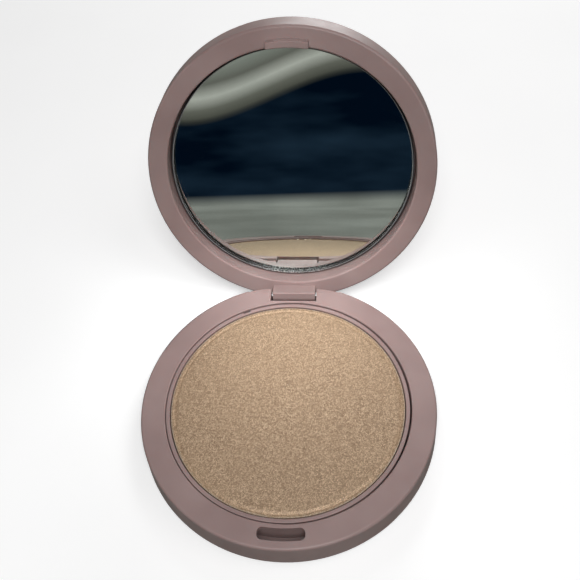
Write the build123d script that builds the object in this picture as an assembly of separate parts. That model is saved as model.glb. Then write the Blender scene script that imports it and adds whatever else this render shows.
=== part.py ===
from build123d import *
import math
import os

# Round pressed-powder compact with a hinged mirror lid, in millimetres.
# Frame: origin at the centre of the face that the compact rests on, +Z up,
# +Y towards the hinge, +X to the right as the user sees it.
# The lid is drawn closed, then turned open about the hinge axis.

# ---- driving dimensions -------------------------------------------------
BASE_RADIUS = 37.0            # at the rim, where base and lid meet
BASE_FLARE = 0.45             # the side wall leans out by this much towards the underside
LID_RADIUS = 37.6
LID_FLARE = 0.5
SHELL_HEIGHT = 8.4            # base shell, without the foot
LID_HEIGHT = 8.9
FOOT_HEIGHT = 0.8             # the bottom cover's foot stands this far below the shell
RIM_EDGE_FILLET = 0.65
BASE_BOTTOM_FILLET = 1.4
LID_TOP_FILLET = 2.0
CLOSED_GAP = 0.15             # between the two rims when the lid is shut
OPEN_ANGLE = 113.0            # lid against its stop, in degrees from shut

RIM_TOP = FOOT_HEIGHT + SHELL_HEIGHT
LID_PLANE = RIM_TOP + CLOSED_GAP

PAST = 5.0                    # cutting blocks run this far past what they cut
REACH = 0.1                   # tolerance when an edge is picked by its place

# base shell
TOP_PLATE = 1.5
WALL_INNER_RADIUS = 35.1
OPENING_RADIUS = 30.9
SKIRT_THICKNESS = 0.8
OPENING_EDGE_FILLET = 0.25

# hinge
HINGE_Y = 35.2
HINGE_DROP = 2.6              # hinge axis below the rim
HINGE_Z = RIM_TOP - HINGE_DROP
EAR_RADIUS = 1.8
SHOULDER_Y = 34.72            # flat back of the rim, cut away so that the lid can turn
EAR_HALF_WIDTH = 12.6
NOTCH_HALF_WIDTH = 6.3
NOTCH_FRONT_Y = 31.4
NOTCH_DEPTH = 6.25
NOTCH_CORNER_FILLET = 0.3
KNUCKLE_HALF_WIDTH = 5.85
KNUCKLE_RADIUS = 1.6
KNUCKLE_CORNER_FILLET = 0.3
PIN_RADIUS = 0.75
PIN_RUNNING_CLEARANCE = 0.05
PIN_INNER_X = 1.8
PIN_OUTER_X = 10.9
PIN_END_CHAMFER = 0.12

# snap hook and its slot, both bent around the compact's axis
SLOT_INNER_RADIUS = 31.95
SLOT_OUTER_RADIUS = 34.9
SLOT_HALF_LENGTH = 5.55
SLOT_END_FILLET = 1.2
HOOK_INNER_RADIUS = 32.9
HOOK_OUTER_RADIUS = 34.5
HOOK_HALF_LENGTH = 5.15
HOOK_LENGTH = 3.1
HOOK_CORNER_FILLET = 0.3
HOOK_TIP_CHAMFER = 0.15
SNAP_RIB_HALF_LENGTH = 3.0
SNAP_RIB_PROUD = 0.2
SNAP_RIB_ROOT = 0.5           # the rib starts this far inside the hook
SNAP_RIB_HEIGHT = 1.4
SNAP_RIB_FROM_TIP = 0.8
SNAP_RIB_END_FILLET = 0.15

# bottom cover and label
COVER_THICKNESS = 1.2
COVER_RADIUS = 35.6
COVER_GAP = 0.1
FOOT_RADIUS = 33.0
FOOT_FILLET = 0.5
LABEL_RADIUS = 22.0
LABEL_GAP = 0.2
LABEL_THICKNESS = 0.12        # flush with the foot's face

# tray, pan and powder; the tray has slid a little to the left in its opening
TRAY_SHIFT_X = -0.15
TRAY_RADIUS = 30.6
TRAY_BELOW_RIM = 0.3
TRAY_TOP = RIM_TOP - TRAY_BELOW_RIM
TRAY_EDGE_FILLET = 0.2
TRAY_FLOOR_THICKNESS = 1.1
PAN_POCKET_RADIUS = 29.6
PAN_RADIUS = 29.35
PAN_METAL = 0.25
PAN_HEIGHT = 4.2
PAN_BELOW_RIM = 0.7
PAN_TOP = RIM_TOP - PAN_BELOW_RIM
PAN_FOOT_FILLET = 0.6
PAN_PAD_THICKNESS = 0.4
PAN_PAD_RADIUS = 26.0
CAKE_SINK = 0.15              # powder surface below the pan's edge
CAKE_EDGE_CHAMFER = 0.3
PRY_NOTCH_ANGLE = 114.0
PRY_NOTCH_WIDTH = 2.0
PRY_NOTCH_DEPTH = 0.5
PRY_NOTCH_HEIGHT = 1.5

# lid inside
RECESS_RADIUS = 32.45
RECESS_DEPTH = 6.5
RECESS_EDGE_FILLET = 0.4
CORE_INNER_RADIUS = 33.8
CORE_OUTER_RADIUS = 35.0
CORE_FLOOR = 1.8
TOP_DISC_THICKNESS = 1.2
TOP_DISC_RADIUS = 35.4
TOP_DISC_GAP = 0.05
TOP_DISC_EDGE_FILLET = 0.2

# mirror, tipped a little in its seat by an uneven adhesive pad
GLASS_RADIUS = 32.0
GLASS_THICKNESS = 2.0
GLASS_FRONT_DEPTH = 3.5
GLASS_EDGE_CHAMFER = 0.15
SILVER_THICKNESS = 0.1
SILVER_RADIUS = 31.8
MIRROR_TIP = 0.8              # degrees
MIRROR_PAD_RADIUS = 27.0

HINGE_AXIS = Axis((0, HINGE_Y, HINGE_Z), (1, 0, 0))


# ---- helpers ------------------------------------------------------------
def turned(points):
    """Solid of revolution about Z from an outline of (radius, height) points."""
    outline = Polyline(*[(r, 0, z) for r, z in points], close=True)
    return revolve(make_face(outline), Axis.Z)


def disc(radius, low, high, x=0.0, y=0.0):
    """Upright disc between two heights."""
    return Pos(x, y, low) * Cylinder(radius, high - low, align=(Align.CENTER, Align.CENTER, Align.MIN))


def block(x_half, y_low, y_high, z_low, z_high):
    """Block that is symmetric in X."""
    centre = ((y_low + y_high) / 2, (z_low + z_high) / 2)
    return Pos(0, *centre) * Box(2 * x_half, y_high - y_low, z_high - z_low)


def bar_along_x(radius, x_low, x_high):
    """Round bar on the hinge axis."""
    middle = (x_low + x_high) / 2
    return Pos(middle, HINGE_Y, HINGE_Z) * Rot(0, 90, 0) * Cylinder(radius, x_high - x_low)


def bent_tab(inner_radius, outer_radius, half_length, end_fillet):
    """Flat outline, bent around the compact's axis, at the front (-Y) side."""
    ring = Circle(outer_radius) - Circle(inner_radius)
    strip = Pos(0, -outer_radius) * Rectangle(2 * half_length, outer_radius)
    outline = ring & strip
    return fillet(outline.vertices(), end_fillet)


def edges_at(part, height, inner_radius, outer_radius):
    """Edges that lie level at a height, within a range of distances from the Z axis."""
    found = []
    for edge in part.edges().filter_by_position(Axis.Z, height - 1e-3, height + 1e-3):
        middle = edge.position_at(0.5)
        if inner_radius <= math.hypot(middle.X, middle.Y) <= outer_radius:
            found.append(edge)
    return found


def ring_edges(part, height, radius):
    """Level edges at a height that run around the Z axis at a radius."""
    return edges_at(part, height, radius - REACH, radius + REACH)


def opened(part):
    """Turn a lid piece from shut to open about the hinge axis."""
    return part.rotate(HINGE_AXIS, -OPEN_ANGLE)


# ---- base ---------------------------------------------------------------
def base_envelope():
    """Outer form of the base shell, solid all through."""
    return turned([
        (0, FOOT_HEIGHT),
        (BASE_RADIUS + BASE_FLARE, FOOT_HEIGHT),
        (BASE_RADIUS, RIM_TOP),
        (0, RIM_TOP),
    ])


def shoulder_relief():
    """Material above and behind the hinge ears, taken away so that the lid's rim can pass."""
    reach = BASE_RADIUS + PAST
    relief = block(reach, SHOULDER_Y, reach, HINGE_Z, RIM_TOP + PAST)
    relief -= block(reach, SHOULDER_Y, HINGE_Y, HINGE_Z - PAST, HINGE_Z + EAR_RADIUS)
    return relief - bar_along_x(EAR_RADIUS, -reach, reach)


def make_base_shell():
    cover_top = FOOT_HEIGHT + COVER_THICKNESS
    envelope = base_envelope()
    envelope = fillet(ring_edges(envelope, FOOT_HEIGHT, BASE_RADIUS + BASE_FLARE), BASE_BOTTOM_FILLET)
    skirt_radius = OPENING_RADIUS + SKIRT_THICKNESS

    hollow = disc(WALL_INNER_RADIUS, 0, RIM_TOP - TOP_PLATE)
    hollow -= disc(skirt_radius, 0, RIM_TOP)
    ears = block(EAR_HALF_WIDTH, 0, BASE_RADIUS + PAST, cover_top, RIM_TOP)
    shell = envelope - (hollow - ears)
    shell -= disc(COVER_RADIUS + COVER_GAP, 0, cover_top)
    shell -= disc(OPENING_RADIUS, 0, RIM_TOP + PAST)
    shell -= shoulder_relief()

    rim_edges = edges_at(shell, RIM_TOP, SHOULDER_Y - REACH, BASE_RADIUS + REACH)
    shell = fillet(rim_edges, RIM_EDGE_FILLET)
    shell = fillet(ring_edges(shell, RIM_TOP, OPENING_RADIUS), OPENING_EDGE_FILLET)

    slot = bent_tab(SLOT_INNER_RADIUS, SLOT_OUTER_RADIUS, SLOT_HALF_LENGTH, SLOT_END_FILLET)
    shell -= Pos(0, 0, RIM_TOP - TOP_PLATE - REACH) * extrude(slot, TOP_PLATE + 2 * REACH)
    notch = block(NOTCH_HALF_WIDTH, NOTCH_FRONT_Y, BASE_RADIUS + PAST, RIM_TOP - NOTCH_DEPTH, RIM_TOP + PAST)
    shell -= fillet(notch.edges().filter_by(Axis.X), NOTCH_CORNER_FILLET)
    return shell - bar_along_x(PIN_RADIUS, -BASE_RADIUS, BASE_RADIUS)


def make_base_bottom_cover():
    plate = disc(COVER_RADIUS, FOOT_HEIGHT, FOOT_HEIGHT + COVER_THICKNESS)
    foot = disc(FOOT_RADIUS, 0, FOOT_HEIGHT)
    foot = fillet(ring_edges(foot, 0, FOOT_RADIUS), FOOT_FILLET)
    return plate + foot - disc(LABEL_RADIUS + LABEL_GAP, -PAST, LABEL_THICKNESS)


def make_base_label():
    return disc(LABEL_RADIUS, 0, LABEL_THICKNESS)


def make_pan_tray():
    cover_top = FOOT_HEIGHT + COVER_THICKNESS
    floor_top = PAN_TOP - PAN_HEIGHT - PAN_PAD_THICKNESS
    tray = turned([
        (PAN_POCKET_RADIUS, cover_top),
        (TRAY_RADIUS, cover_top),
        (TRAY_RADIUS, TRAY_TOP),
        (PAN_POCKET_RADIUS, TRAY_TOP),
        (PAN_POCKET_RADIUS, floor_top),
        (0, floor_top),
        (0, floor_top - TRAY_FLOOR_THICKNESS),
        (PAN_POCKET_RADIUS, floor_top - TRAY_FLOOR_THICKNESS),
    ])
    lip_edges = ring_edges(tray, TRAY_TOP, PAN_POCKET_RADIUS) + ring_edges(tray, TRAY_TOP, TRAY_RADIUS)
    tray = fillet(lip_edges, TRAY_EDGE_FILLET)
    notch_place = Rot(0, 0, PRY_NOTCH_ANGLE) * Pos(TRAY_RADIUS, 0, TRAY_TOP)
    tray -= notch_place * Box(2 * PRY_NOTCH_DEPTH, PRY_NOTCH_WIDTH, 2 * PRY_NOTCH_HEIGHT)
    return Pos(TRAY_SHIFT_X, 0, 0) * tray


def make_pan_adhesive_pad():
    pad_top = PAN_TOP - PAN_HEIGHT
    return disc(PAN_PAD_RADIUS, pad_top - PAN_PAD_THICKNESS, pad_top, TRAY_SHIFT_X)


def make_powder_pan():
    bottom = PAN_TOP - PAN_HEIGHT
    pan = disc(PAN_RADIUS, bottom, PAN_TOP)
    pan = fillet(ring_edges(pan, bottom, PAN_RADIUS), PAN_FOOT_FILLET)
    pan -= disc(PAN_RADIUS - PAN_METAL, bottom + PAN_METAL + PAN_FOOT_FILLET, PAN_TOP + PAST)
    pan -= disc(PAN_RADIUS - PAN_METAL - PAN_FOOT_FILLET, bottom + PAN_METAL, PAN_TOP)
    return Pos(TRAY_SHIFT_X, 0, 0) * pan


def make_powder_cake():
    bottom = PAN_TOP - PAN_HEIGHT
    radius = PAN_RADIUS - PAN_METAL
    top = PAN_TOP - CAKE_SINK
    cake = turned([
        (0, bottom + PAN_METAL),
        (radius - PAN_FOOT_FILLET, bottom + PAN_METAL),
        (radius - PAN_FOOT_FILLET, bottom + PAN_METAL + PAN_FOOT_FILLET),
        (radius, bottom + PAN_METAL + PAN_FOOT_FILLET),
        (radius, top - CAKE_EDGE_CHAMFER),
        (radius - CAKE_EDGE_CHAMFER, top),
        (0, top),
    ])
    return Pos(TRAY_SHIFT_X, 0, 0) * cake


def make_hinge_pin(side):
    inner, outer = sorted((side * PIN_INNER_X, side * PIN_OUTER_X))
    pin = bar_along_x(PIN_RADIUS, inner, outer)
    return chamfer(pin.edges(), PIN_END_CHAMFER)


# ---- lid, drawn shut ------------------------------------------------------
def hinge_knuckle():
    """Knuckle under the lid's rim: square towards the front, round about the axis at the back."""
    front = HINGE_Y - KNUCKLE_RADIUS
    low = HINGE_Z - KNUCKLE_RADIUS
    root = LID_PLANE + RIM_EDGE_FILLET
    body = block(KNUCKLE_HALF_WIDTH, front, HINGE_Y, low, root)
    body += block(KNUCKLE_HALF_WIDTH, front, HINGE_Y + KNUCKLE_RADIUS, HINGE_Z, root)
    body += bar_along_x(KNUCKLE_RADIUS, -KNUCKLE_HALF_WIDTH, KNUCKLE_HALF_WIDTH)
    front_low = [
        edge for edge in body.edges().filter_by(Axis.X)
        if abs(edge.center().Y - front) < 1e-3 and abs(edge.center().Z - low) < 1e-3
    ]
    return fillet(front_low, KNUCKLE_CORNER_FILLET)


def snap_hook():
    """Tab that drops into the slot, with a low rib on its outer face."""
    tip = LID_PLANE - HOOK_LENGTH
    outline = bent_tab(HOOK_INNER_RADIUS, HOOK_OUTER_RADIUS, HOOK_HALF_LENGTH, HOOK_CORNER_FILLET)
    hook = Pos(0, 0, tip) * extrude(outline, HOOK_LENGTH + RIM_EDGE_FILLET)
    hook = chamfer(edges_at(hook, tip, 0, BASE_RADIUS), HOOK_TIP_CHAMFER)
    rib_inner = HOOK_OUTER_RADIUS - SNAP_RIB_ROOT
    rib_outer = HOOK_OUTER_RADIUS + SNAP_RIB_PROUD
    rib_outline = bent_tab(rib_inner, rib_outer, SNAP_RIB_HALF_LENGTH, SNAP_RIB_END_FILLET)
    return hook + Pos(0, 0, tip + SNAP_RIB_FROM_TIP) * extrude(rib_outline, SNAP_RIB_HEIGHT)


def make_lid_shell():
    top = LID_PLANE + LID_HEIGHT
    shell = turned([
        (0, LID_PLANE),
        (LID_RADIUS, LID_PLANE),
        (LID_RADIUS + LID_FLARE, top),
        (0, top),
    ])
    shell = fillet(ring_edges(shell, top, LID_RADIUS + LID_FLARE), LID_TOP_FILLET)
    shell = fillet(ring_edges(shell, LID_PLANE, LID_RADIUS), RIM_EDGE_FILLET)
    shell -= disc(RECESS_RADIUS, LID_PLANE - PAST, LID_PLANE + RECESS_DEPTH)
    shell = fillet(ring_edges(shell, LID_PLANE, RECESS_RADIUS), RECESS_EDGE_FILLET)
    shell -= disc(TOP_DISC_RADIUS + TOP_DISC_GAP, top - TOP_DISC_THICKNESS, top + PAST)
    core = disc(CORE_OUTER_RADIUS, LID_PLANE + CORE_FLOOR, top)
    shell -= core - disc(CORE_INNER_RADIUS, LID_PLANE, top)
    shell += hinge_knuckle()
    shell += snap_hook()
    bore = PIN_RADIUS + PIN_RUNNING_CLEARANCE
    return opened(shell - bar_along_x(bore, -BASE_RADIUS, BASE_RADIUS))


def make_lid_top_disc():
    top = LID_PLANE + LID_HEIGHT
    cover = disc(TOP_DISC_RADIUS, top - TOP_DISC_THICKNESS, top)
    return opened(fillet(ring_edges(cover, top, TOP_DISC_RADIUS), TOP_DISC_EDGE_FILLET))


def tipped(part):
    """Tip a piece of the mirror about the middle of its front face."""
    seat = Pos(0, 0, LID_PLANE + GLASS_FRONT_DEPTH)
    return seat * Rot(MIRROR_TIP, 0, 0) * part


def make_mirror_glass():
    glass = disc(GLASS_RADIUS, 0, GLASS_THICKNESS)
    return opened(tipped(chamfer(glass.edges().filter_by(GeomType.CIRCLE), GLASS_EDGE_CHAMFER)))


def make_mirror_silvering():
    return opened(tipped(disc(SILVER_RADIUS, GLASS_THICKNESS, GLASS_THICKNESS + SILVER_THICKNESS)))


def make_mirror_adhesive_pad():
    """Wedge that fills the space between the mirror's back and the lid's floor."""
    lid_floor = LID_PLANE + RECESS_DEPTH
    mirror_back = GLASS_THICKNESS + SILVER_THICKNESS
    pad = disc(MIRROR_PAD_RADIUS, LID_PLANE + GLASS_FRONT_DEPTH, lid_floor)
    mirror = disc(GLASS_RADIUS, -PAST, mirror_back)
    return opened(pad - tipped(mirror))


# ---- build and write ------------------------------------------------------
SUB_PARTS = {
    "base_shell": make_base_shell(),
    "base_bottom_cover": make_base_bottom_cover(),
    "base_label": make_base_label(),
    "pan_tray": make_pan_tray(),
    "pan_adhesive_pad": make_pan_adhesive_pad(),
    "powder_pan": make_powder_pan(),
    "powder_cake": make_powder_cake(),
    "hinge_pin_left": make_hinge_pin(-1),
    "hinge_pin_right": make_hinge_pin(1),
    "lid_shell": make_lid_shell(),
    "lid_top_disc": make_lid_top_disc(),
    "mirror_glass": make_mirror_glass(),
    "mirror_silvering": make_mirror_silvering(),
    "mirror_adhesive_pad": make_mirror_adhesive_pad(),
}

os.makedirs("parts", exist_ok=True)
for name, part in SUB_PARTS.items():
    export_step(part, f"parts/{name}.step")
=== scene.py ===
import math

import bmesh
import bpy
import numpy as np
from mathutils import Matrix, Vector, noise


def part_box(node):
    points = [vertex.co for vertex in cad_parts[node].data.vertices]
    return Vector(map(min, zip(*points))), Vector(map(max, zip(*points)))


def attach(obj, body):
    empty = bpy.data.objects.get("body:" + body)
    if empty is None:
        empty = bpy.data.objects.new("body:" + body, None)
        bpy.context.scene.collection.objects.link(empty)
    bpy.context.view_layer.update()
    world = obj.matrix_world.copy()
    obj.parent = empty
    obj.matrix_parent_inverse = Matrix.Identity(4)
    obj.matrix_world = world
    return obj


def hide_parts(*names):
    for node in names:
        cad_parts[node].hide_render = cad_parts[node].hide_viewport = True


# Open mirror compact with a pan of pressed shimmer powder. Everything is in metres, in the frame's own axes:
# +Z up, +Y towards the hinge, +X to the right.
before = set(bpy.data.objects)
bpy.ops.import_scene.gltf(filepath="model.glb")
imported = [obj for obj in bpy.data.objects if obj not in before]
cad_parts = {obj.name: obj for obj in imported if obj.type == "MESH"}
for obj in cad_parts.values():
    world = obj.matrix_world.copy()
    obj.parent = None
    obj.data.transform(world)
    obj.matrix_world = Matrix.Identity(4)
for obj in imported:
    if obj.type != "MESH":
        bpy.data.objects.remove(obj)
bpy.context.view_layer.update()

MM = 0.001

# ---- camera -----------------------------------------------------------------
CAMERA_AZIMUTH = math.radians(6.69)
CAMERA_ELEVATION = math.radians(53.53)
CAMERA_ROLL = math.radians(-5.03)
CAMERA_DISTANCE = 218.0 * MM
CAMERA_TARGET = Vector((-1.06, 35.09, 9.2)) * MM      # where the rim plane meets the hinge
CAMERA_LENS = 48.83


def make_camera():
    data = bpy.data.cameras.new("camera")
    data.lens, data.sensor_width = CAMERA_LENS, 36.0
    data.clip_start, data.clip_end = 0.01, 20.0
    camera = bpy.data.objects.new("camera", data)
    bpy.context.scene.collection.objects.link(camera)
    sin_a, cos_a = math.sin(CAMERA_AZIMUTH), math.cos(CAMERA_AZIMUTH)
    sin_e, cos_e = math.sin(CAMERA_ELEVATION), math.cos(CAMERA_ELEVATION)
    back = Vector((sin_a * cos_e, -cos_a * cos_e, sin_e))
    level = Vector((cos_a, sin_a, 0))
    right = math.cos(CAMERA_ROLL) * level + math.sin(CAMERA_ROLL) * back.cross(level)
    place = Matrix((right, back.cross(right), back)).transposed().to_4x4()
    place.translation = CAMERA_TARGET + back * CAMERA_DISTANCE
    camera.matrix_world = place
    bpy.context.scene.camera = camera


# ---- node helpers -------------------------------------------------------------
class Shader:
    """A material and short ways to add its nodes. Lengths are in millimetres."""

    def __init__(self, name):
        self.material = bpy.data.materials.new(name)
        self.material.use_nodes = True
        self.nodes = self.material.node_tree.nodes
        self.links = self.material.node_tree.links
        self.surface = self.nodes["Principled BSDF"]
        self.place = self.nodes.new("ShaderNodeTexCoord").outputs["Object"]

    def set(self, **values):
        for name, value in values.items():
            self.surface.inputs[name.replace("_", " ")].default_value = value

    def feed(self, name, output):
        self.links.new(output, self.surface.inputs[name])

    def stretched(self, turn, scale):
        """The object's coordinates turned about Z and scaled along each axis."""
        mapping = self.nodes.new("ShaderNodeMapping")
        mapping.inputs["Rotation"].default_value = (0, 0, turn)
        mapping.inputs["Scale"].default_value = scale
        self.links.new(self.place, mapping.inputs["Vector"])
        return mapping.outputs["Vector"]

    def attribute(self, name):
        """A value that the mesh stores at each of its points."""
        node = self.nodes.new("ShaderNodeAttribute")
        node.attribute_name = name
        return node.outputs["Fac"]

    def noise(self, size, detail=2.0, roughness=0.5, place=None):
        node = self.nodes.new("ShaderNodeTexNoise")
        node.inputs["Scale"].default_value = 1 / (size * MM)
        node.inputs["Detail"].default_value = detail
        node.inputs["Roughness"].default_value = roughness
        self.links.new(place or self.place, node.inputs["Vector"])
        return node.outputs["Fac"]

    def cells(self, size, output="Color"):
        node = self.nodes.new("ShaderNodeTexVoronoi")
        node.inputs["Scale"].default_value = 1 / (size * MM)
        self.links.new(self.place, node.inputs["Vector"])
        return node.outputs[output]

    def ramp(self, value, low, high, start, end):
        """start where value is low, end where it is high; each may be a number or a colour."""
        colour = isinstance(start, tuple)
        node = self.nodes.new("ShaderNodeMapRange")
        node.inputs["From Min"].default_value, node.inputs["From Max"].default_value = low, high
        self.links.new(value, node.inputs["Value"])
        if not colour:
            node.inputs["To Min"].default_value, node.inputs["To Max"].default_value = start, end
            return node.outputs["Result"]
        return self.mix(node.outputs["Result"], start, end)

    def mix(self, factor, first, second):
        node = self.nodes.new("ShaderNodeMix")
        node.data_type = "RGBA"
        for socket, value in ((node.inputs[0], factor), (node.inputs[6], first), (node.inputs[7], second)):
            if isinstance(value, bpy.types.NodeSocket):
                self.links.new(value, socket)
            elif isinstance(value, tuple):
                socket.default_value = (*value, 1.0)
            else:
                socket.default_value = value
        return node.outputs[2]

    def maths(self, kind, first, second=0.0):
        node = self.nodes.new("ShaderNodeMath")
        node.operation = kind
        for socket, value in zip(node.inputs, (first, second)):
            if isinstance(value, bpy.types.NodeSocket):
                self.links.new(value, socket)
            else:
                socket.default_value = value
        return node.outputs[0]

    def bump(self, height, depth, strength=1.0, after=None):
        node = self.nodes.new("ShaderNodeBump")
        node.inputs["Distance"].default_value = depth * MM
        node.inputs["Strength"].default_value = strength
        self.links.new(height, node.inputs["Height"])
        if after is not None:
            self.links.new(after, node.inputs["Normal"])
        return node.outputs["Normal"]


# ---- materials ------------------------------------------------------------------
MAUVE = (0.345, 0.243, 0.232)
MAUVE_PALE = (0.395, 0.285, 0.272)
PLASTIC_IOR = 1.46
PLASTIC_GLOW = 0.35                     # share of light that passes through the skin
PLASTIC_GLOW_REACH = (1.0, 0.45, 0.38)  # how far red, green and blue go, in mm
POWDER_DARK = (0.28, 0.181, 0.110)
POWDER = (0.475, 0.324, 0.205)
POWDER_LIGHT = (0.97, 0.74, 0.52)
BRUSH_TURN = math.radians(28)
GLASS_IOR = 1.51


def satin_plastic(name, tint=1.0):
    """Moulded plastic: faint flow marks, an eroded satin skin and a little dust."""
    s = Shader(name)
    # tint below 1 makes a darker copy of the plastic, used as painted shade
    base = tuple(c * tint for c in MAUVE)
    pale = tuple(c * tint for c in MAUVE_PALE)
    flow = s.noise(14.0, 2.0)
    s.feed("Base Color", s.mix(s.ramp(s.cells(0.9, "Distance"), 0.02, 0.05, 1.0, 0.0),
                               s.ramp(flow, 0.35, 0.65, base, pale), pale))
    s.feed("Roughness", s.ramp(s.noise(3.0, 3.0), 0.3, 0.7, 0.40, 0.50))
    s.feed("Normal", s.bump(s.noise(0.12, 2.0), 0.004, 0.5))
    s.set(IOR=PLASTIC_IOR, Subsurface_Weight=PLASTIC_GLOW, Subsurface_Radius=PLASTIC_GLOW_REACH,
          Subsurface_Scale=MM)
    return s.material


def shimmer_powder():
    """Pressed powder: flakes of mica that each face their own way, between duller grains."""
    s = Shader("shimmer_powder")
    flakes = s.cells(0.26)
    fine = s.cells(0.16)
    brushed = s.noise(0.6, 3.0, 0.6, s.stretched(BRUSH_TURN, (0.3, 1.0, 1.0)))
    patch = s.noise(7.0, 3.0, 0.6)
    grain = s.mix(0.5, flakes, fine)
    tone = s.maths("MULTIPLY", s.maths("ADD", grain, s.maths("MULTIPLY", brushed, 0.8)), 0.5)
    dull = s.ramp(tone, 0.30, 0.55, POWDER_DARK, POWDER)
    colour = s.mix(s.ramp(grain, 0.45, 0.85, 0.0, 0.75), dull, POWDER_LIGHT)
    s.feed("Base Color", s.mix(s.ramp(patch, 0.3, 0.7, 0.0, 0.3), colour, POWDER))
    s.feed("Roughness", s.ramp(flakes, 0.2, 0.8, 0.28, 0.6))
    s.feed("Metallic", s.ramp(fine, 0.45, 0.75, 0.0, 0.6))
    s.feed("Normal", s.bump(s.noise(0.24, 2.0, 0.6), 0.13, 0.9, s.bump(brushed, 0.05, 0.5)))
    return s.material


def pan_metal():
    """Drawn aluminium with powder caught on its rim."""
    s = Shader("pan_metal")
    dust = s.ramp(s.noise(0.45, 3.0, 0.7), 0.42, 0.58, 0.0, 1.0)
    s.feed("Base Color", s.mix(dust, (0.80, 0.68, 0.54), POWDER))
    s.feed("Metallic", s.ramp(dust, 0.0, 1.0, 0.7, 0.1))
    s.feed("Roughness", s.ramp(s.noise(0.2), 0.3, 0.7, 0.22, 0.5))
    s.feed("Normal", s.bump(s.noise(0.3, 3.0), 0.08, 0.8))
    return s.material


def pin_steel():
    s = Shader("pin_steel")
    drawn = s.noise(0.15, 2.0, 0.5, s.stretched(0.0, (0.04, 1.0, 1.0)))
    s.feed("Base Color", s.ramp(drawn, 0.3, 0.7, (0.42, 0.42, 0.43), (0.62, 0.62, 0.63)))
    s.feed("Roughness", s.ramp(drawn, 0.3, 0.7, 0.22, 0.4))
    s.set(Metallic=1.0)
    return s.material


def clear_glass():
    """Float glass, faintly green and lightly smeared. Its ground edge is painted near black, as painted
    shade for the dark recess round it, with bright chips.
    """
    s = Shader("clear_glass")
    smears = s.noise(9.0, 3.0, 0.6)
    ground = s.ramp(s.attribute("ground"), 0.55, 0.95, 0.0, 1.0)
    speckle = s.ramp(s.noise(0.4, 2.0, 0.7), 0.46, 0.54, 0.0, 1.0)
    chips = s.maths("MULTIPLY", s.attribute("chipped"), speckle)
    tint = s.ramp(smears, 0.4, 0.7, (0.96, 0.985, 0.975), (0.93, 0.96, 0.95))
    # painted shade: the ground edge is near black wherever it is not chipped
    s.feed("Base Color", s.mix(ground, tint, s.mix(chips, (0.045, 0.045, 0.05), (0.95, 0.97, 0.96))))
    rough = s.maths("MAXIMUM", s.ramp(smears, 0.5, 0.75, 0.0, 0.03), ground)
    s.feed("Roughness", s.ramp(rough, 0.0, 1.0, 0.0, 0.4))
    s.feed("Metallic", s.maths("MULTIPLY", ground, chips))
    s.feed("Transmission Weight", s.ramp(ground, 0.0, 1.0, 1.0, 0.0))
    s.set(IOR=GLASS_IOR)
    return s.material


def silver():
    """Mirror coating, with pinholes where it has lifted."""
    s = Shader("silver")
    specks = s.ramp(s.cells(1.6, "Distance"), 0.012, 0.02, 1.0, 0.0)
    s.feed("Base Color", s.mix(specks, (0.90, 0.915, 0.905), (0.25, 0.25, 0.25)))
    s.feed("Roughness", s.ramp(specks, 0.0, 1.0, 0.0, 0.3))
    s.set(Metallic=1.0)
    return s.material


def foam_tape():
    s = Shader("foam_tape")
    pores = s.cells(0.35, "Distance")
    s.feed("Base Color", s.ramp(pores, 0.1, 0.6, (0.55, 0.55, 0.53), (0.72, 0.72, 0.70)))
    s.feed("Normal", s.bump(pores, 0.05, 0.6))
    s.set(Roughness=0.85)
    return s.material


def label_film():
    s = Shader("label_film")
    fibre = s.noise(0.4, 3.0, 0.6)
    s.feed("Base Color", s.ramp(fibre, 0.3, 0.7, (0.60, 0.56, 0.52), (0.68, 0.64, 0.60)))
    s.feed("Roughness", s.ramp(s.noise(4.0), 0.3, 0.7, 0.5, 0.62))
    s.feed("Normal", s.bump(fibre, 0.01, 0.4))
    return s.material


# ---- mesh helpers -----------------------------------------------------------------
def link(name, mesh, material):
    piece = bpy.data.objects.new(name, mesh)
    bpy.context.scene.collection.objects.link(piece)
    mesh.materials.append(material)
    return piece


def mesh_from_rings(name, rings, first_pole, last_pole, material):
    """Closed skin through rings of points, all with the same count, capped by a point at each end."""
    count = len(rings[0])
    points = [first_pole] + [p for ring in rings for p in ring] + [last_pole]
    faces = [(0, 1 + (i + 1) % count, 1 + i) for i in range(count)]
    for k in range(len(rings) - 1):
        inner, outer = 1 + k * count, 1 + (k + 1) * count
        for i in range(count):
            j = (i + 1) % count
            faces.append((inner + i, inner + j, outer + j, outer + i))
    start, end = 1 + (len(rings) - 1) * count, len(points) - 1
    faces += [(start + i, start + (i + 1) % count, end) for i in range(count)]
    mesh = bpy.data.meshes.new(name)
    mesh.from_pydata(points, [], faces)
    built = bmesh.new()
    built.from_mesh(mesh)
    bmesh.ops.recalc_face_normals(built, faces=built.faces)
    built.to_mesh(mesh)
    built.free()
    return link(name, mesh, material)


def smooth(piece, angle):
    """Smooth shading, with edges sharper than the angle kept crisp."""
    piece.data.shade_smooth()
    piece.data.set_sharp_from_angle(angle=math.radians(angle))


# ---- powder ---------------------------------------------------------------------------
CAKE_SEGMENTS = 560
CAKE_RING_STEP = 0.24 * MM
CAKE_FOOT_BEVEL = 0.6 * MM
GROOVE_DEPTH, GROOVE_INSET, GROOVE_WIDTH = 0.34, 0.62, 0.34     # mm, scraped round the edge


def cake_height(x, y, inset):
    """How far the powder stands above its pressed level; inset is the distance in from its edge."""
    point = Vector((x, y, 0)) / MM
    across = Vector((point.x * 0.30 + point.y * 0.55, point.y * 1.5 - point.x * 0.8, 3.1))
    grain = 0.020 * noise.noise(point / 0.42) + 0.022 * noise.noise(across / 1.1)
    worn = 0.5 + 0.5 * noise.noise(point / 1.7 + Vector((9, 4, 2)))
    depth = inset / MM
    groove = GROOVE_DEPTH * math.exp(-((depth - GROOVE_INSET) / GROOVE_WIDTH) ** 2) * (0.45 + worn)
    crumbs = 0.10 * max(0.0, noise.noise(point / 0.55 + Vector((1, 7, 5)))) * math.exp(-depth / 1.2)
    return (grain - groove + crumbs) * MM


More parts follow.
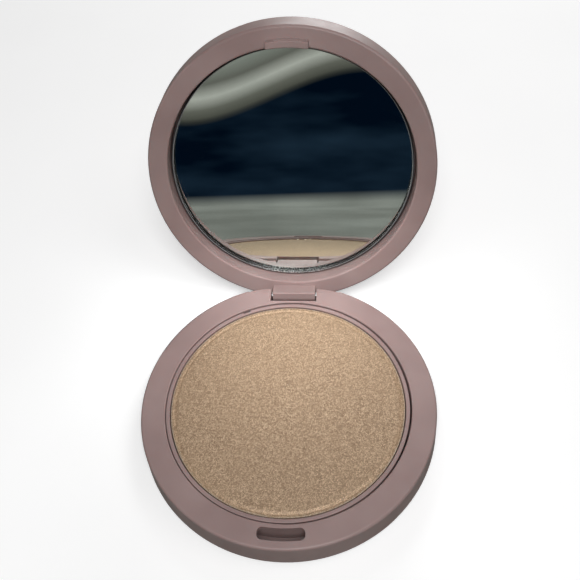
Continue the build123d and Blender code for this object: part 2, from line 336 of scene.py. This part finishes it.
def make_powder():
    low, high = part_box("powder_cake")
    centre, radius = (low + high) / 2, (high.x - low.x) / 2
    turns = [2 * math.pi * i / CAKE_SEGMENTS for i in range(CAKE_SEGMENTS)]
    steps = round(radius / CAKE_RING_STEP)
    rings = []
    for k in range(1, steps + 1):
        r = radius * k / steps
        ring = []
        for turn in turns:
            x, y = r * math.cos(turn), r * math.sin(turn)
            ring.append((centre.x + x, centre.y + y, high.z + cake_height(x, y, radius - r)))
        rings.append(ring)
    for r, z in ((radius, low.z + CAKE_FOOT_BEVEL), (radius - CAKE_FOOT_BEVEL, low.z)):
        rings.append([(centre.x + r * math.cos(t), centre.y + r * math.sin(t), z) for t in turns])
    top, bottom = (centre.x, centre.y, high.z), (centre.x, centre.y, low.z)
    piece = mesh_from_rings("pressed_powder", rings, top, bottom, shimmer_powder())
    piece.data.shade_smooth()
    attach(piece, "base")
    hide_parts("powder_cake")


# ---- mirror ------------------------------------------------------------------------------
GLASS_SEGMENTS = 720
GLASS_SHARP_ANGLE = 25
GLASS_BACK_GAP = 0.02 * MM        # air film in front of the silver


def plate_axes(node):
    """Centre, radius, half thickness and axes of a tilted CAD disc: across, up and towards the front."""
    points = np.array([v.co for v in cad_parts[node].data.vertices])
    low, high = points.min(0), points.max(0)
    centre = (low + high) / 2
    axes = np.linalg.svd(points - centre, full_matrices=False)[2]
    front = Vector(axes[2])
    if front.y > 0:
        front = -front
    across = Vector((1, 0, 0))
    up = front.cross(across).normalized()
    half = abs((points - centre) @ np.array(front)).max()
    return Vector(centre), (high[0] - low[0]) / 2, half, (across, up, front)


CHIPPED_HALF_ANGLE = 0.34         # radians to each side of straight down


def chipped_share(turn):
    return math.exp(-(turn / CHIPPED_HALF_ANGLE) ** 4)


def chip(turn, level):
    """How far the glass edge is chipped away, in mm, at an angle from straight down."""
    worn = chipped_share(turn)
    shells = noise.noise(Vector((turn * 38.0, level * 1.3, 0.0)))
    flakes = noise.noise(Vector((turn * 110.0, level * 2.6, 4.0)))
    return worn * (0.05 + 0.22 * max(0.0, shells + 0.15) + 0.12 * abs(flakes))


def make_glass():
    centre, radius, half, (across, up, front) = plate_axes("mirror_glass")
    back = -half + GLASS_BACK_GAP
    # each ring: inset (mm), height, and how much of the chipping it takes
    profile = ((-0.9, half, 0), (-0.25, half, 0.5), (-0.08, half - 0.08 * MM, 1),
               (0.0, half - 0.3 * MM, 0.8), (0.0, 0.0, 0.4), (0.0, back + 0.3 * MM, 0.6),
               (-0.15, back, 0.5), (-0.9, back, 0))
    ground, chipped = [], []
    rings = []
    for level, (inset, height, share) in enumerate(profile):
        ring = []
        for i in range(GLASS_SEGMENTS):
            turn = 2 * math.pi * i / GLASS_SEGMENTS - math.pi
            r = radius + (inset - share * chip(turn, level)) * MM
            point = centre + across * (r * math.sin(turn)) - up * (r * math.cos(turn)) + front * height
            ring.append(tuple(point))
            chipped.append(chipped_share(turn))
        rings.append(ring)
        ground += [float(0 < level < len(profile) - 1)] * GLASS_SEGMENTS
    piece = mesh_from_rings("mirror_glass_plate", rings, tuple(centre + front * half),
                            tuple(centre + front * back), clear_glass())
    for name, values in (("ground", ground), ("chipped", chipped)):
        piece.data.attributes.new(name, "FLOAT", "POINT").data.foreach_set("value", [0.0, *values, 0.0])
    smooth(piece, GLASS_SHARP_ANGLE)
    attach(piece, "lid")
    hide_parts("mirror_glass")


# ---- surroundings ---------------------------------------------------------------------------
def plane(name, corners, material):
    mesh = bpy.data.meshes.new(name)
    mesh.from_pydata([tuple(c) for c in corners], [], [(0, 1, 2, 3)])
    piece = link(name, mesh, material)
    return piece


def only_in_mirror(piece):
    piece.visible_camera = False
    piece.visible_diffuse = False
    piece.visible_shadow = False
    piece.visible_volume_scatter = False


FLOOR_HALF = 2.5
FLOOR_GLOW = 0.35


def floor_material():
    s = Shader("pale_floor")
    s.feed("Base Color", s.ramp(s.noise(30.0, 3.0), 0.3, 0.7, (0.86, 0.86, 0.86), (0.88, 0.88, 0.88)))
    s.set(Roughness=0.9)
    s.surface.inputs["Emission Color"].default_value = (1, 1, 1, 1)
    s.surface.inputs["Emission Strength"].default_value = FLOOR_GLOW
    s.material.cycles.emission_sampling = "NONE"
    return s.material


def make_floor():
    reach = FLOOR_HALF
    corners = ((-reach, -reach, 0), (reach, -reach, 0), (reach, reach, 0), (-reach, reach, 0))
    floor = plane("floor", corners, floor_material())
    floor.visible_glossy = floor.visible_transmission = False
    floor.visible_diffuse = False


# Cards that glow with their own colour and show only in the mirror: a painted reflection of a lit table and
# cloth.
def card_material(name, build):
    s = Shader(name)
    s.set(Base_Color=(0, 0, 0, 1), Roughness=1.0, Specular_IOR_Level=0.0, Emission_Strength=1.0)
    s.feed("Emission Color", build(s))
    s.material.cycles.emission_sampling = "NONE"
    return s.material


TABLE_GREY = (0.175, 0.18, 0.162)
TABLE_PALE = (0.275, 0.285, 0.26)
NAVY = (0.0006, 0.0035, 0.0095)
NAVY_PALE = (0.011, 0.024, 0.042)
# bands of painted light and shade across the folds of the cloth
FOLD_LIGHT_AND_SHADE = ((0.0, (0.055, 0.055, 0.045)), (0.2, (0.13, 0.13, 0.11)), (0.42, (0.42, 0.42, 0.38)),
         (0.66, (0.125, 0.125, 0.108)), (1.0, (0.25, 0.265, 0.235)))
FOLD_DEPTH = 60.0 * MM
FOLD_LINE = (-0.165, 0.035, 0.080, 0.136)     # from x, to x, from z, to z (m)
TABLE_EDGE_SLOPE = 0.03


def table_colours(s):
    return s.ramp(s.noise(110.0, 2.0), 0.32, 0.68, TABLE_GREY, TABLE_PALE)


def backdrop_colours(s):
    """Painted reflection for the mirror: table edge at the bottom, dark blue cloth above, and pale folds of
    painted light and shade above a line that rises in x.
    """
    split = s.nodes.new("ShaderNodeSeparateXYZ")
    s.links.new(s.place, split.inputs[0])
    x, z = split.outputs["X"], split.outputs["Z"]
    streaks = s.noise(60.0, 3.0, 0.55, s.stretched(0.0, (0.35, 1.0, 1.3)))
    blue = s.ramp(streaks, 0.42, 0.74, NAVY, NAVY_PALE)
    rise = s.nodes.new("ShaderNodeMapRange")
    rise.interpolation_type = "SMOOTHSTEP"
    for socket, value in zip(rise.inputs[1:5], FOLD_LINE):
        socket.default_value = value
    s.links.new(x, rise.inputs[0])
    above = s.maths("SUBTRACT", z, rise.outputs[0])
    folds = s.nodes.new("ShaderNodeValToRGB")
    while len(folds.color_ramp.elements) < len(FOLD_LIGHT_AND_SHADE):
        folds.color_ramp.elements.new(1.0)
    for stop, (position, colour) in zip(folds.color_ramp.elements, FOLD_LIGHT_AND_SHADE):
        stop.position, stop.color = position, (*colour, 1.0)
    s.links.new(s.ramp(above, 0.0, FOLD_DEPTH, 0.0, 1.0), folds.inputs[0])
    cloth = s.mix(s.ramp(above, -0.004, 0.004, 0.0, 1.0), blue, folds.outputs[0])
    edge = s.maths("SUBTRACT", z, s.maths("MULTIPLY", x, TABLE_EDGE_SLOPE))
    return s.mix(s.ramp(edge, -0.008, 0.004, 0.0, 1.0), table_colours(s), cloth)


TABLE_FRONT = -0.40
BACKDROP_Y = -0.62
BACKDROP_HALF_WIDTH = 1.4
BACKDROP_LOW, BACKDROP_HIGH = -0.4, 1.6


def make_painted_reflection_cards():
    reach, low = BACKDROP_HALF_WIDTH, -0.1 * MM
    table = plane("table_card", ((-reach, TABLE_FRONT, low), (reach, TABLE_FRONT, low),
                                 (reach, reach, low), (-reach, reach, low)),
                  card_material("table_card", table_colours))
    wall = [(x, BACKDROP_Y, z) for x, z in ((-reach, BACKDROP_LOW), (reach, BACKDROP_LOW),
                                            (reach, BACKDROP_HIGH), (-reach, BACKDROP_HIGH))]
    backdrop = plane("backdrop_card", wall, card_material("backdrop_card", backdrop_colours))
    for card in (table, backdrop):
        only_in_mirror(card)


# ---- light -------------------------------------------------------------------------------------
# name, azimuth it comes from (0 is the front), elevation, distance, size (m), power (W)
LIGHTS = (
    ("front_high", 8, 62, 0.60, 0.30, 2.15),
    ("top_right", 90, 62, 0.60, 0.30, 0.30),
    ("back_low", 172, 15, 0.60, 0.30, 1.25),
)
# What the open mirror throws onto the base; the light stays put when the lid turns.
BOUNCE_PLACE = Vector((2, 28, 62)) * MM
BOUNCE_SIZE = 0.045
BOUNCE_POWER = 0.0112
BOUNCE_SPREAD = 105
WORLD_LEVEL = 0.06


def make_light(name, place, towards, size, power, spread=180):
    """Round soft light at a place, shining away from the direction that it comes from."""
    data = bpy.data.lights.new(name, "AREA")
    data.shape, data.size, data.energy, data.spread = "DISK", size, power, math.radians(spread)
    light = bpy.data.objects.new(name, data)
    bpy.context.scene.collection.objects.link(light)
    light.location = place
    light.rotation_euler = towards.to_track_quat("Z", "Y").to_euler()
    light.visible_camera = False
    return light


def make_lights():
    centre = sum(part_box("base_shell"), Vector()) / 2
    for name, azimuth, elevation, distance, size, power in LIGHTS:
        a, e = math.radians(azimuth), math.radians(elevation)
        towards = Vector((math.sin(a) * math.cos(e), -math.cos(a) * math.cos(e), math.sin(e)))
        make_light(name, centre + towards * distance, towards, size, power)
    bounce = make_light("mirror_bounce", BOUNCE_PLACE, Vector((0, 0, 1)), BOUNCE_SIZE, BOUNCE_POWER,
                        BOUNCE_SPREAD)
    bounce.visible_glossy = bounce.visible_transmission = False


def make_world():
    world = bpy.data.worlds.new("world")
    world.use_nodes = True
    background = world.node_tree.nodes["Background"]
    background.inputs["Color"].default_value = (1.0, 1.0, 1.0, 1.0)
    background.inputs["Strength"].default_value = WORLD_LEVEL
    bpy.context.scene.world = world


# ---- put it together -------------------------------------------------------------------------------
def dress(names, material):
    for name in names:
        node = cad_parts[name]
        node.data.materials.clear()
        node.data.materials.append(material)


def dress_frame():
    dress(("base_shell", "base_bottom_cover"), satin_plastic("satin_plastic"))
    dress(("lid_shell", "lid_top_disc"), satin_plastic("satin_plastic_lid"))
    # The tray's copy is 3% darker: painted shade for the tray ring, which sits a little below the rim.
    dress(("pan_tray",), satin_plastic("satin_plastic_tray_shaded", 0.97))
    dress(("powder_pan",), pan_metal())
    dress(("hinge_pin_left", "hinge_pin_right"), pin_steel())
    dress(("mirror_silvering",), silver())
    dress(("mirror_adhesive_pad", "pan_adhesive_pad"), foam_tape())
    dress(("base_label",), label_film())


bpy.context.scene.view_settings.view_transform = "Standard"
make_camera()
make_world()
make_floor()
make_painted_reflection_cards()
dress_frame()
make_powder()
make_glass()
make_lights()
